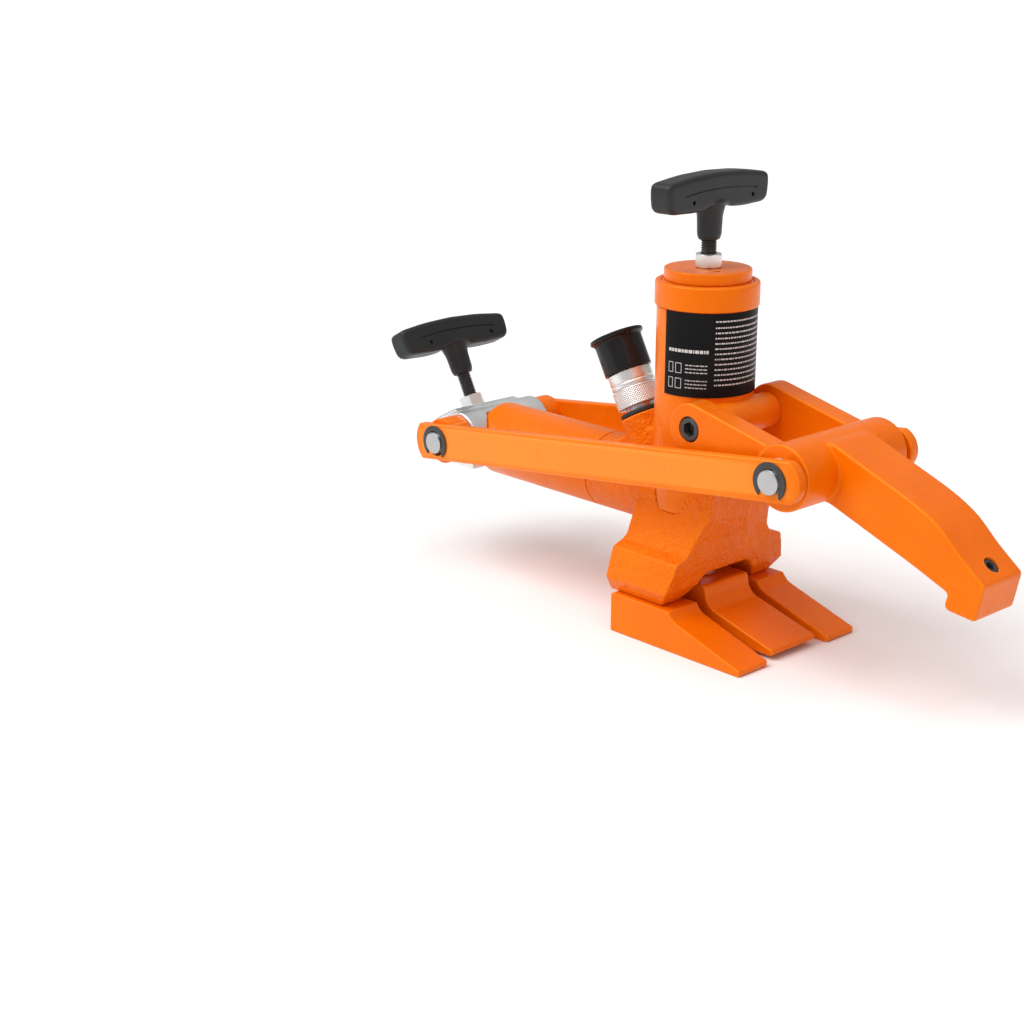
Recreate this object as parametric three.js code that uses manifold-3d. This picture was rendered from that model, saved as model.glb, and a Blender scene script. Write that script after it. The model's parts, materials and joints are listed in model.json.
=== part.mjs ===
// A two-ram hydraulic bead breaker for truck and tractor tyres, in millimetres with +Z up.
// The origin is on the sole, under the axis of the upright push ram. The fingers and the hook
// point to +X, the clamp ram lies along -X, and the tool is symmetrical about the plane Y = 0.
import * as THREE from "three";
import { mergeVertices } from "three/addons/utils/BufferGeometryUtils.js";
import Module from "manifold-3d";

const wasm = await Module();
wasm.setup();

// Driving dimensions
const GAP = 0.3; // clearance between pieces that touch
const FOOT = { halfWidth: 67.5, rear: -29.5, shelf: 28, height: 31, tip: 101.5, tipThickness: 4.4, slot: 35 };
const TONGUE = { halfWidth: 25.2, rear: -20, tip: 97.3, bottom: 3.2, top: 40.5 };
const CASTING = { rear: -35, bottom: FOOT.height + GAP, waist: 66, top: 140 };
const BARREL = { radius: 37.5, bore: 30, bottom: 96, boreBottom: 111, shoulder: 251.2, neck: 34, top: 270 };
const COLLAR = { radius: 39.2, bottom: 251.5, top: 270 };
const CAP = { radius: 32.8, bottom: 270.3, top: 279, plugRadius: 29.6, plugBottom: 258 };
const PISTON = { radius: 29.6, bottom: 240, top: 257.7 };
const ROD = { radius: 15, bottom: 40.8, spigot: 8 };
const CLAMP_RAM = { height: 102.4, radius: 30.8, bore: 24, mouth: -226, seam: -96, plunger: 23.6 };
const TRUNNION = { x: 33.8, z: 170.5, radius: 13.5, halfLength: 34.7 };
const ARM_PIN = { x: 123.5, z: 153.4 };
const RAM_PIN = { x: -235.5, z: 108.6 };
const PIN = { radius: 9, halfLength: 72, grooveRadius: 8, grooveIn: 69, grooveOut: 70.6 };
const LINK = {
  inner: 59.8, thickness: 9, halfHeight: 15.1, end: 25.6, ramRadius: 22, armRadius: 16.5,
  freeHole: 11.5, bossRadius: 19, bossInner: 43,
};
const BOSS = { radius: 24.3, halfLength: 57 };
const CHEEK = { inner: 35, outer: 54, radius: 19.5 };
const HOOK = { halfWidth: 23.1 };
const STUD = { radius: 5.9 };
const NUT = { acrossFlats: 19, height: 10 };
const TOP_STEM = 20.5; // height of the grip's stem over its nut seat
const SIDE_STEM = 30.8;
const SIDE_SEAT = { x: -264.2, z: 122, tilt: 28 };
const CROSSHEAD = { halfWidth: 35, ridge: -251.5, farEnd: -276, tubeRadius: 21.5, tubeHalfLength: 42.7 };
const COUPLER = { x: -62.2, z: 155, tilt: 29 };
const LABEL = { inner: 37.8, outer: 38.1, bottom: 188, top: 251, from: -99.5, to: 50 };

const paint = (colour) => ({ color: colour, roughness: 0.35, metalness: 0 });
const FINISH = {
  orange: paint(0xf57a10),
  zinc: { color: 0xc9ced2, roughness: 0.3, metalness: 1 },
  steel: { color: 0xb4b6b8, roughness: 0.25, metalness: 1 },
  chrome: { color: 0xdde0e2, roughness: 0.12, metalness: 1 },
  blackSteel: { color: 0x1d1d1f, roughness: 0.45, metalness: 1 },
  bronze: { color: 0xa9793f, roughness: 0.4, metalness: 1 },
  plastic: { color: 0x3b3d3f, roughness: 0.5, metalness: 0 },
  gloss: { color: 0x141416, roughness: 0.25, metalness: 0 },
  rubber: { color: 0x161616, roughness: 0.85, metalness: 0 },
  label: { color: 0x111113, roughness: 0.4, metalness: 0 },
};

const radians = THREE.MathUtils.degToRad;
const model = new THREE.Group();

// A closed geometry as a manifold solid that faces outwards.
function solid(geometry) {
  const bare = geometry.index ? geometry.toNonIndexed() : geometry.clone();
  bare.deleteAttribute("normal");
  bare.deleteAttribute("uv");
  const merged = mergeVertices(bare, 1e-4);
  const triVerts = new Uint32Array(merged.index.array);
  const vertProperties = merged.attributes.position.array;
  const made = new wasm.Manifold(new wasm.Mesh({ numProp: 3, vertProperties, triVerts }));
  if (made.volume() > 0) return made;
  triVerts.reverse();
  return new wasm.Manifold(new wasm.Mesh({ numProp: 3, vertProperties, triVerts }));
}

// A manifold solid as a three.js geometry with flat faces.
function geometryOf(made) {
  const { vertProperties, triVerts } = made.getMesh();
  const geometry = new THREE.BufferGeometry();
  geometry.setAttribute("position", new THREE.BufferAttribute(new Float32Array(vertProperties), 3));
  geometry.setIndex(new THREE.BufferAttribute(new Uint32Array(triVerts), 1));
  geometry.computeVertexNormals();
  return geometry;
}

function add(name, made, finish, parent = model) {
  const mesh = new THREE.Mesh(geometryOf(made), new THREE.MeshStandardMaterial(FINISH[finish]));
  mesh.name = name;
  parent.add(mesh);
  return mesh;
}

// A profile of [radius, height] points turned about Z; a profile off the axis closes on itself.
function turned(profile, segments = 24) {
  const points = profile.map(([r, z]) => new THREE.Vector2(r, z));
  if (profile[0][0] > 0) points.push(points[0].clone());
  return solid(new THREE.LatheGeometry(points, segments).rotateX(Math.PI / 2));
}

const rod = (radius, from, to, segments = 20) =>
  turned([[0, from], [radius, from], [radius, to], [0, to]], segments);

const ring = (inner, outer, from, to, segments = 20) =>
  turned([[inner, from], [outer, from], [outer, to], [inner, to]], segments);

// A rod with both rims chamfered.
const chamferedRod = (radius, from, to, chamfer, segments = 20) =>
  turned([[0, from], [radius - chamfer, from], [radius, from + chamfer], [radius, to - chamfer],
    [radius - chamfer, to], [0, to]], segments);

const hexRod = (acrossFlats, from, to) => {
  const prism = new THREE.CylinderGeometry(acrossFlats / Math.sqrt(3), acrossFlats / Math.sqrt(3), to - from, 6);
  return solid(prism.rotateX(Math.PI / 2).translate(0, 0, (from + to) / 2));
};

// Solids made about Z are laid along Y or X at a place in the plane Y = 0.
const alongY = (made, at) => made.rotate([90, 0, 0]).translate([at.x, 0, at.z]);
const alongX = (made) => made.rotate([0, -90, 0]).translate([0, 0, CLAMP_RAM.height]);

// An outline in X and Z, extruded from one Y to another.
function plate(shape, fromY, toY, curveSegments = 12) {
  const geometry = new THREE.ExtrudeGeometry(shape, { depth: toY - fromY, bevelEnabled: false, curveSegments });
  return solid(geometry.rotateX(Math.PI / 2).translate(0, toY, 0));
}

// An outline in Y and Z, extruded from one X to another.
function section(shape, fromX, toX) {
  const geometry = new THREE.ExtrudeGeometry(shape, { depth: toX - fromX, bevelEnabled: false });
  const basis = new THREE.Matrix4().makeBasis(
    new THREE.Vector3(0, 1, 0),
    new THREE.Vector3(0, 0, 1),
    new THREE.Vector3(1, 0, 0),
  );
  return solid(geometry.applyMatrix4(basis).translate(fromX, 0, 0));
}

function box(fromX, toX, fromY, toY, fromZ, toZ) {
  const geometry = new THREE.BoxGeometry(toX - fromX, toY - fromY, toZ - fromZ);
  return solid(geometry.translate((fromX + toX) / 2, (fromY + toY) / 2, (fromZ + toZ) / 2));
}

const polygon = (points) => new THREE.Shape(points.map(([a, b]) => new THREE.Vector2(a, b)));

// A [half width, height] outline mirrored about Y = 0.
const mirrored = (half) => polygon([...half, ...half.map(([y, z]) => [-y, z]).reverse()]);

// A coil spring about Z.
class Helix extends THREE.Curve {
  constructor(radius, from, to, turns) {
    super();
    Object.assign(this, { radius, from, to, turns });
  }

  getPoint(t, target = new THREE.Vector3()) {
    const angle = 2 * Math.PI * this.turns * t;
    const z = this.from + (this.to - this.from) * t;
    return target.set(this.radius * Math.cos(angle), this.radius * Math.sin(angle), z);
  }
}

function spring(radius, wire, from, to, turns) {
  const shape = new THREE.Shape().absarc(0, 0, wire, 0, 2 * Math.PI);
  const path = new Helix(radius, from + wire, to - wire, turns);
  const settings = { steps: turns * 8, curveSegments: 2, extrudePath: path, bevelEnabled: false };
  return solid(new THREE.ExtrudeGeometry(shape, settings));
}

const FOOT_BOLTS = [[-14, 51], [8, 51], [-14, -51], [8, -51]];
const BOLT = { radius: 5, head: 8, headTop: 10.7, top: 50, clearance: 0.4 };

// The foot: two wedge fingers either side of a slot, joined at the back.
function footBlock() {
  const outline = new THREE.Shape();
  outline.moveTo(FOOT.rear, 0);
  outline.lineTo(FOOT.tip, 0);
  outline.lineTo(FOOT.tip, FOOT.tipThickness);
  outline.lineTo(39, 23.6);
  outline.quadraticCurveTo(34, 25.4, FOOT.shelf + 2.5, FOOT.height);
  outline.lineTo(FOOT.rear + 2, FOOT.height);
  outline.lineTo(FOOT.rear, FOOT.height - 2);
  let block = plate(outline, -FOOT.halfWidth, FOOT.halfWidth, 4);
  block = block.subtract(box(FOOT.rear + 7, FOOT.tip + 5, -FOOT.slot, FOOT.slot, -5, FOOT.height + 5));
  for (const [x, y] of FOOT_BOLTS) {
    const counterbore = rod(BOLT.head + BOLT.clearance, -5, BOLT.headTop + GAP, 16);
    const hole = rod(BOLT.radius + BOLT.clearance, 0, FOOT.height + 5, 12);
    block = block.subtract(counterbore.add(hole).translate([x, y, 0]));
  }
  return block;
}

// A socket-head screw that points up from a head at height 0.
function capScrew(radius, headRadius, headHeight, length, socket) {
  const head = chamferedRod(headRadius, 0, headHeight, 0.6, 16);
  const shank = rod(radius, headHeight - 1, length, 12);
  return head.add(shank).subtract(hexRod(socket, -1, headHeight * 0.6));
}

function bodyCasting() {
  const front = mirrored([
    [62, CASTING.bottom], [68, 43], [60.7, CASTING.waist], [50, 69.5], [45.5, 73], [42.5, 80], [39.3, 89],
    [36.5, 98], [33, 118], [30, CASTING.top],
  ]);
  const side = polygon([
    [CASTING.rear, CASTING.bottom], [19, CASTING.bottom], [28, 44], [31, 58], [31.8, CASTING.waist],
    [31.8, 77], [36.5, 90], [39.5, 97], [40, CASTING.top], [CASTING.rear + 2, CASTING.top], [CASTING.rear, 80],
  ]);
  let casting = section(front, CASTING.rear, 45).intersect(plate(side, -80, 80));
  const ramBoss = alongX(rod(CLAMP_RAM.radius, 30, -CLAMP_RAM.seam, 36));
  const web = plate(polygon([[-94, 108], [-86, 128], [-52, 147], [-30, 152], [-30, 100]]), -15, 15);
  const portBoss = rod(19, -46, -GAP, 28).rotate([0, -COUPLER.tilt, 0]).translate([COUPLER.x, 0, COUPLER.z]);
  casting = casting.add(ramBoss).add(web).add(portBoss);
  casting = casting.subtract(rod(BARREL.radius + GAP, BARREL.bottom - GAP, CASTING.top + 60, 44));
  const arch = mirrored([[42, CASTING.bottom - 5], [41, 33], [33, 42], [27, 49], [22, 51.3]]);
  casting = casting.subtract(section(arch, TONGUE.rear - 4, 60));
  casting = casting.subtract(rod(ROD.radius + 0.6, 40, BARREL.bottom + 2, 28));
  casting = casting.subtract(alongX(rod(27.3, 80, 120, 28)));
  const port = rod(10.3, -17, 5, 20).rotate([0, -COUPLER.tilt, 0]).translate([COUPLER.x, 0, COUPLER.z]);
  casting = casting.subtract(port);
  for (const [x, y] of FOOT_BOLTS) {
    const hole = rod(BOLT.radius + BOLT.clearance, CASTING.bottom - 5, BOLT.top + 2, 12);
    casting = casting.subtract(hole.translate([x, y, 0]));
  }
  return casting;
}

// The middle finger, driven down by the push ram.
function pushTongue() {
  const outline = new THREE.Shape();
  outline.moveTo(TONGUE.rear, TONGUE.bottom);
  outline.lineTo(TONGUE.tip - 3, TONGUE.bottom);
  outline.quadraticCurveTo(TONGUE.tip, TONGUE.bottom, TONGUE.tip, TONGUE.bottom + 2.5);
  outline.lineTo(TONGUE.tip - 0.6, TONGUE.bottom + 4.8);
  outline.lineTo(39, 23.6);
  outline.quadraticCurveTo(30.4, 27, 30, 36);
  outline.quadraticCurveTo(30, TONGUE.top, 26, TONGUE.top);
  outline.lineTo(TONGUE.rear, TONGUE.top);
  const counterbore = rod(8.4, 0, 15, 16);
  const hole = rod(5.4, 10, TONGUE.top + 5, 12);
  return plate(outline, -TONGUE.halfWidth, TONGUE.halfWidth, 4).subtract(counterbore).subtract(hole);
}

function pushRam() {
  const { radius, bore, bottom, boreBottom, shoulder, neck, top } = BARREL;
  const tube = turned([[18.3, bottom], [radius - 1, bottom], [radius, bottom + 1], [radius, shoulder],
    [neck, shoulder], [neck, top], [bore, top], [bore, boreBottom], [18.3, boreBottom]], 44);
  const cross = alongY(rod(TRUNNION.radius, -TRUNNION.halfLength, TRUNNION.halfLength, 24), TRUNNION);
  const thread = alongY(rod(6.3, 12, 50, 14), TRUNNION);
  const outside = cross.subtract(rod(bore + 3, 0, top, 44));
  add("ram_barrel", tube.add(outside).subtract(thread).subtract(thread.mirror([0, 1, 0])), "orange");
  add("ram_collar", turned([[neck + GAP, COLLAR.bottom], [COLLAR.radius - 1, COLLAR.bottom],
    [COLLAR.radius, COLLAR.bottom + 1], [COLLAR.radius, COLLAR.top - 2], [COLLAR.radius - 1.2, COLLAR.top],
    [neck + GAP, COLLAR.top]], 44), "orange");
  const plug = turned([[0, CAP.plugBottom], [CAP.plugRadius, CAP.plugBottom], [CAP.plugRadius, 261.7],
    [27.3, 261.7], [27.3, 265.3], [CAP.plugRadius, 265.3], [CAP.plugRadius, CAP.bottom],
    [CAP.radius, CAP.bottom], [CAP.radius, CAP.top - 1], [CAP.radius - 1, CAP.top], [0, CAP.top]], 32);
  add("ram_end_cap", plug.subtract(rod(STUD.radius + GAP, CAP.top - 17, CAP.top + 2, 16)), "orange");
  add("cap_seal_ring", ring(28, 29.8, 262, 265), "rubber");
  add("rod_bush", ring(15.3, 18, bottom + GAP, boreBottom - GAP), "bronze");
  add("ram_return_spring", spring(22.4, 2.2, boreBottom + GAP, PISTON.bottom - GAP, 7), "steel");
}

function ramPiston() {
  const piston = turned([[8.3, PISTON.bottom], [PISTON.radius, PISTON.bottom], [PISTON.radius, 246],
    [27, 246], [27, 251.6], [PISTON.radius, 251.6], [PISTON.radius, PISTON.top], [8.3, PISTON.top]], 24);
  add("ram_piston", piston, "steel");
  add("ram_piston_seal", ring(27.8, 29.8, 246.3, 251.3), "rubber");
  const shaft = chamferedRod(ROD.radius, ROD.bottom, PISTON.bottom - GAP, 0.8, 28)
    .add(rod(ROD.spigot, PISTON.bottom - 2, PISTON.top - 1, 16))
    .subtract(rod(5.4, 35, 66, 12));
  add("ram_piston_rod", shaft, "chrome");
  add("push_tongue", pushTongue(), "orange");
  add("tongue_screw", capScrew(5, 8, 10, 57, 8).translate([0, 0, 4.6]), "blackSteel");
}

function ratingLabel() {
  const outline = new THREE.Shape();
  outline.absarc(0, 0, LABEL.outer, radians(LABEL.from), radians(LABEL.to), false);
  outline.absarc(0, 0, LABEL.inner, radians(LABEL.to), radians(LABEL.from), true);
  const settings = { depth: LABEL.top - LABEL.bottom, bevelEnabled: false, curveSegments: 20 };
  return solid(new THREE.ExtrudeGeometry(outline, settings).translate(0, 0, LABEL.bottom));
}

// The clamp ram's tube screws into the casting; its plunger comes out of the far end.
function clampHousing() {
  const mouth = -CLAMP_RAM.mouth;
  const seam = -CLAMP_RAM.seam + GAP;
  const { radius, bore } = CLAMP_RAM;
  add("clamp_housing", alongX(turned([[bore, 80.3], [27, 80.3], [27, seam], [radius, seam],
    [radius, mouth - 1.2], [radius - 1.2, mouth], [26.3, mouth], [26.3, mouth - 8], [bore, mouth - 8]], 32)),
  "orange");
  add("clamp_gland_ring", alongX(ring(CLAMP_RAM.plunger + 0.7, 26, mouth - 7.7, mouth - GAP)), "bronze");
  add("clamp_return_spring", alongX(spring(8, 1.4, 81, 178, 8)), "steel");
}

function clampPlunger() {
  const mouthX = CLAMP_RAM.mouth;
  const mouth = -mouthX;
  let plunger = alongX(turned([[0, 110], [12, 110], [CLAMP_RAM.plunger, 110], [CLAMP_RAM.plunger, 114],
    [21.3, 114], [21.3, 119], [CLAMP_RAM.plunger, 119], [CLAMP_RAM.plunger, mouth + 4], [0, mouth + 4]], 32));
  const { x, z, tilt } = SIDE_SEAT;
  const { halfWidth, ridge, farEnd, tubeRadius, tubeHalfLength } = CROSSHEAD;
  const slope = Math.tan(radians(tilt));
  const profile = polygon([[farEnd, 90], [farEnd + 8, 80], [mouthX - 1, 80], [mouthX - 1, 125.4],
    [ridge, z + slope * (ridge - x)], [farEnd, z + slope * (farEnd - x)]]);
  const head = plate(profile, -halfWidth, halfWidth);
  const crossTube = alongY(rod(tubeRadius, -tubeHalfLength, tubeHalfLength, 32), RAM_PIN);
  const clearOfHousing = alongX(ring(CLAMP_RAM.plunger, CLAMP_RAM.radius + 1, 180, mouth + 1));
  plunger = plunger.add(head).add(crossTube.subtract(clearOfHousing));
  plunger = plunger.subtract(alongX(rod(12, 105, 180, 16)));
  plunger = plunger.subtract(alongY(rod(PIN.radius + GAP, -60, 60, 20), RAM_PIN));
  const studHole = rod(STUD.radius + GAP, -18, 10, 16).rotate([0, -tilt, 0]).translate([x, 0, z]);
  add("clamp_plunger", plunger.subtract(studHole), "zinc");
  add("plunger_seal", alongX(ring(21.9, 23.8, 114.3, 118.7)), "rubber");
}

function crossPin(name, at) {
  const { radius, halfLength, grooveRadius, grooveIn, grooveOut } = PIN;
  const half = [[radius, grooveIn], [grooveRadius, grooveIn], [grooveRadius, grooveOut], [radius, grooveOut],
    [radius, halfLength - 0.8], [radius - 0.8, halfLength], [0, halfLength]];
  const other = half.map(([r, z]) => [r, -z]).reverse();
  add(name, alongY(turned([...other, ...half], 20), at), "zinc");
}

// An open retaining ring in the pin's groove, with its mouth downwards.
function circlip(name, at, side) {
  const inner = PIN.grooveRadius + GAP;
  const outline = new THREE.Shape();
  outline.absarc(0, 0, 14.3, radians(-50), radians(230), false);
  outline.lineTo(inner * Math.cos(radians(230)), inner * Math.sin(radians(230)));
  outline.absarc(0, 0, inner, radians(230), radians(-50), true);
  const made = plate(outline, PIN.grooveIn + 0.1, PIN.grooveOut - 0.2, 12).translate([at.x, 0, at.z]);
  add(name, side < 0 ? made.mirror([0, 1, 0]) : made, "blackSteel");
}

function washer(name, at, side) {
  const made = alongY(ring(PIN.radius + GAP, 15, BOSS.halfLength + GAP + 0.1, LINK.inner - GAP, 20), at);
  add(name, side < 0 ? made : made.mirror([0, 1, 0]), "zinc");
}

// A link bar from the clamp ram's pin to the arm's pin.
function link(name, side) {
  const dx = ARM_PIN.x - RAM_PIN.x;
  const dz = ARM_PIN.z - RAM_PIN.z;
  const length = Math.hypot(dx, dz);
  const { halfHeight, end, ramRadius, armRadius, inner, thickness, freeHole, bossRadius, bossInner } = LINK;
  const armCorner = Math.asin(halfHeight / armRadius);
  const ramCorner = Math.asin(halfHeight / ramRadius);
  const outline = new THREE.Shape();
  outline.absarc(length + end - armRadius, 0, armRadius, -armCorner, armCorner, false);
  outline.absarc(ramRadius - end, 0, ramRadius, Math.PI - ramCorner, Math.PI + ramCorner, false);
  const boss = rod(bossRadius, bossInner, inner + 1, 32).rotate([-90, 0, 0]);
  let bar = plate(outline, inner, inner + thickness, 8).add(boss);
  bar = bar.subtract(rod(freeHole, -80, 80, 24).rotate([90, 0, 0]));
  bar = bar.subtract(rod(PIN.radius + GAP, -80, 80, 20).rotate([90, 0, 0]).translate([length, 0, 0]));
  const lift = -THREE.MathUtils.radToDeg(Math.atan2(dz, dx));
  bar = bar.rotate([0, lift, 0]).translate([RAM_PIN.x, 0, RAM_PIN.z]);
  add(name, side < 0 ? bar.mirror([0, 1, 0]) : bar, "orange");
}

function hookOutline() {
  const hook = new THREE.Shape();
  hook.moveTo(118, 133);
  hook.lineTo(138.2, 132.4);
  hook.lineTo(214.6, 103.7);
  hook.lineTo(242.3, 92);
  hook.lineTo(240.8, 84.5);
  hook.quadraticCurveTo(243.5, 79.8, 251, 79.2);
  hook.lineTo(264.8, 77.5);
  hook.lineTo(270.2, 104);
  hook.lineTo(252.2, 117.6);
  hook.quadraticCurveTo(231, 137.5, 211.2, 146.6);
  hook.lineTo(139.5, 176);
  hook.lineTo(118, 176);
  return hook;
}

// Two cheeks on the trunnion, the boss that the links pull, and the hook: one casting.
function clampArm() {
  const { x, z } = TRUNNION;
  const top = radians(76);
  const outline = polygon([
    [x + CHEEK.radius * Math.cos(top), z + CHEEK.radius * Math.sin(top)], [ARM_PIN.x, 169.5],
    [ARM_PIN.x - 5, ARM_PIN.z - BOSS.radius + 1], [x - 5, z - 18.8],
  ]);
  const { inner, outer } = CHEEK;
  const round = alongY(rod(CHEEK.radius, -outer, -inner, 36), TRUNNION);
  const cheek = plate(outline, inner, outer).add(round);
  const counterbore = alongY(rod(9.8, -outer - 1, -outer + 12.5, 20), TRUNNION);
  const screwHole = alongY(rod(6.4, -outer - 1, 0, 14), TRUNNION);
  const bored = cheek.subtract(counterbore).subtract(screwHole);
  let arm = bored.add(bored.mirror([0, 1, 0]));
  arm = arm.add(alongY(chamferedRod(BOSS.radius, -BOSS.halfLength, BOSS.halfLength, 0.8, 40), ARM_PIN));
  arm = arm.add(plate(hookOutline(), -HOOK.halfWidth, HOOK.halfWidth, 5));
  arm = arm.subtract(alongY(rod(PIN.radius + GAP, -60, 60, 20), ARM_PIN));
  return arm.subtract(rod(6.3, -18, 5, 16).rotate([0, 36.9, 0]).translate([260, 0, 111.8]));
}

function armPieces() {
  add("clamp_arm", clampArm(), "orange");
  const screw = capScrew(6, 9, 12, 30, 10).translate([0, 0, -CHEEK.outer + 0.2]);
  const inPlace = alongY(screw.mirror([0, 0, 1]), TRUNNION);
  add("pivot_screw_rear", inPlace, "blackSteel");
  add("pivot_screw_front", inPlace.mirror([0, 1, 0]), "blackSteel");
  const grub = rod(6, -15, -1, 16).subtract(hexRod(6, -7, 2));
  add("hook_grub_screw", grub.rotate([0, 36.9, 0]).translate([260, 0, 111.8]), "blackSteel");
}

// The T grip: a bar that arches a little, on a stem that tapers to its stud.
function grip(stem) {
  const half = new THREE.Shape();
  half.moveTo(0, 24);
  half.lineTo(11, 25.6);
  half.quadraticCurveTo(20, 21.4, 29, 22.6);
  half.lineTo(50, 23.4);
  half.quadraticCurveTo(57.4, 24, 58.2, 31);
  half.lineTo(58.8, 38.5);
  half.quadraticCurveTo(58.6, 45, 51, 46.2);
  half.quadraticCurveTo(26, 50, 0, 50.2);
  const points = half.getPoints(4).map(({ x, y }) => [x, y]);
  const inset = 4;
  const settings = { depth: 20 - 2 * inset, bevelThickness: inset, bevelSize: inset, bevelOffset: -inset,
    bevelSegments: 2 };
  const bar = new THREE.ExtrudeGeometry(mirrored(points), settings);
  const basis = new THREE.Matrix4().makeBasis(
    new THREE.Vector3(0, 1, 0),
    new THREE.Vector3(0, 0, 1),
    new THREE.Vector3(1, 0, 0),
  );
  const arm = solid(bar.applyMatrix4(basis).translate(inset - 10, 0, 0));
  const post = turned([[0, 0], [8.4, 0], [10, 3.4], [10.6, 20], [12.5, 28], [0, 28]], 20).scale([0.86, 1, 1]);
  const bore = rod(STUD.radius + GAP, -5, 20, 16);
  return arm.add(post).subtract(bore).translate([0, 0, stem]);
}

function hexNut() {
  const corner = NUT.acrossFlats / Math.sqrt(3);
  const rims = turned([[0, 0], [corner - 1.2, 0], [corner, 0.8], [corner, NUT.height - 0.8],
    [corner - 1.2, NUT.height], [0, NUT.height]], 24);
  return hexRod(NUT.acrossFlats, 0, NUT.height).intersect(rims)
    .subtract(rod(STUD.radius + GAP, -1, NUT.height + 1, 16)).translate([0, 0, GAP]);
}

// A T handle standing on a threaded stud with a jam nut, seated at a place and tilted towards -X.
function handle(name, at, tilt, turn, stem) {
  const seat = new THREE.Group();
  seat.position.set(at.x, 0, at.z);
  seat.rotation.y = -radians(tilt);
  model.add(seat);
  add(name + "_stud", chamferedRod(STUD.radius, -16, stem + 18, 1, 16), "blackSteel", seat);
  add(name + "_nut", hexNut().rotate([0, 0, turn + 12]), "zinc", seat);
  add(name + "_grip", grip(stem).rotate([0, 0, turn]), "plastic", seat);
}

// The quick coupler that takes the pump's hose, with its dust cap.
function coupler() {
  const seat = new THREE.Group();
  seat.position.set(COUPLER.x, 0, COUPLER.z);
  seat.rotation.y = -radians(COUPLER.tilt);
  model.add(seat);
  add("coupler_nipple", turned([[4, -15], [9, -15], [10, -14], [10, 3.8], [12, 3.8], [12, 52], [10.5, 54],
    [7.8, 54], [7.8, 30], [4, 26]], 20), "steel", seat);
  add("coupler_seal", ring(10.3, 17.9, 0, 3.5), "rubber", seat);
  add("coupler_poppet", turned([[0, 31], [4, 31], [7.4, 36], [7.4, 46], [5, 50], [0, 50]], 16), "steel", seat);
  add("coupler_sleeve", turned([[12.3, 6.8], [17.3, 6.8], [18.3, 7.6], [18.3, 21.2], [17.6, 21.9],
    [12.3, 21.9]], 28), "zinc", seat);
  add("coupler_lock_ring", turned([[12.3, 22.2], [17.6, 22.2], [17.6, 34.8], [17, 35.4], [12.3, 35.4]], 28),
    "zinc", seat);
  add("dust_cap", turned([[0, 61.5], [15.4, 61.5], [15.4, 35.7], [19.2, 35.7], [19.4, 63.4], [21.9, 63.4],
    [21.9, 66.2], [0, 66.2]], 32), "gloss", seat);
}

add("foot_block", footBlock(), "orange");
FOOT_BOLTS.forEach(([x, y], i) => {
  const bolt = capScrew(BOLT.radius, BOLT.head, BOLT.headTop - 1, BOLT.top - 1, 8).translate([x, y, 1]);
  add("foot_bolt_" + (i + 1), bolt, "blackSteel");
});
add("body_casting", bodyCasting(), "orange");
pushRam();
ramPiston();
add("rating_label", ratingLabel(), "label");
clampHousing();
clampPlunger();
armPieces();
for (const [where, side] of [["front", -1], ["rear", 1]]) {
  link(where + "_link", side);
  for (const [end, at] of [["left", RAM_PIN], ["right", ARM_PIN]]) {
    circlip(`${end}_circlip_${where}`, at, side);
  }
  washer(where + "_washer", ARM_PIN, side);
}
crossPin("left_pin", RAM_PIN);
crossPin("right_pin", ARM_PIN);
handle("top", { x: 0, z: CAP.top }, 0, 3, TOP_STEM);
handle("side", SIDE_SEAT, SIDE_SEAT.tilt, 0, SIDE_STEM);
coupler();

export default model;
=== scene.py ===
"""The looks of a two-ram bead breaker: painted castings, plated pins, threads, knurling and a label."""

import json
import math
import random

import bmesh
import bpy
from mathutils import Matrix, Vector

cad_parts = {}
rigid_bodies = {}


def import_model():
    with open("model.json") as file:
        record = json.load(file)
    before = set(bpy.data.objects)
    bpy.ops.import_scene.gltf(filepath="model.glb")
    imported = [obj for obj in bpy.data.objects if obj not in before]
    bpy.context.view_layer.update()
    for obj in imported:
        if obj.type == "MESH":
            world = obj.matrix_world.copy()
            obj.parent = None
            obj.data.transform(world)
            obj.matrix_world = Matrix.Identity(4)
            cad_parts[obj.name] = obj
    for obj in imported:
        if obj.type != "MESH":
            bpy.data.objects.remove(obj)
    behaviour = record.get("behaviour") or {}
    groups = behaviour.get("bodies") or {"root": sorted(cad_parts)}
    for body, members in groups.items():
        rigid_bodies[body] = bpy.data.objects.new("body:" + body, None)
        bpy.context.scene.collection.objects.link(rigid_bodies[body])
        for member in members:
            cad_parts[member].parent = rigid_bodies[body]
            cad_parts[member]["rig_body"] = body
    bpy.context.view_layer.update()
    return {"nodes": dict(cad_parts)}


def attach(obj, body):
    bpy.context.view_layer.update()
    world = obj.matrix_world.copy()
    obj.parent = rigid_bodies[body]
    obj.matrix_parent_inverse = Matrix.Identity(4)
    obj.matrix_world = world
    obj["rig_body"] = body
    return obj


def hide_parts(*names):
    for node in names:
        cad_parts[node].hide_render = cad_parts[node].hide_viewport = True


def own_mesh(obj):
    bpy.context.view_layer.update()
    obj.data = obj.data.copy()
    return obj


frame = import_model()
scene = bpy.context.scene

MM = 0.001

# Camera, in metres and degrees
CAMERA_PLACE = (0.888998, -1.011107, 0.513726)
CAMERA_DOWN = 17.646
CAMERA_ROUND = 47.535
CAMERA_LENS = 63.756

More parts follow.
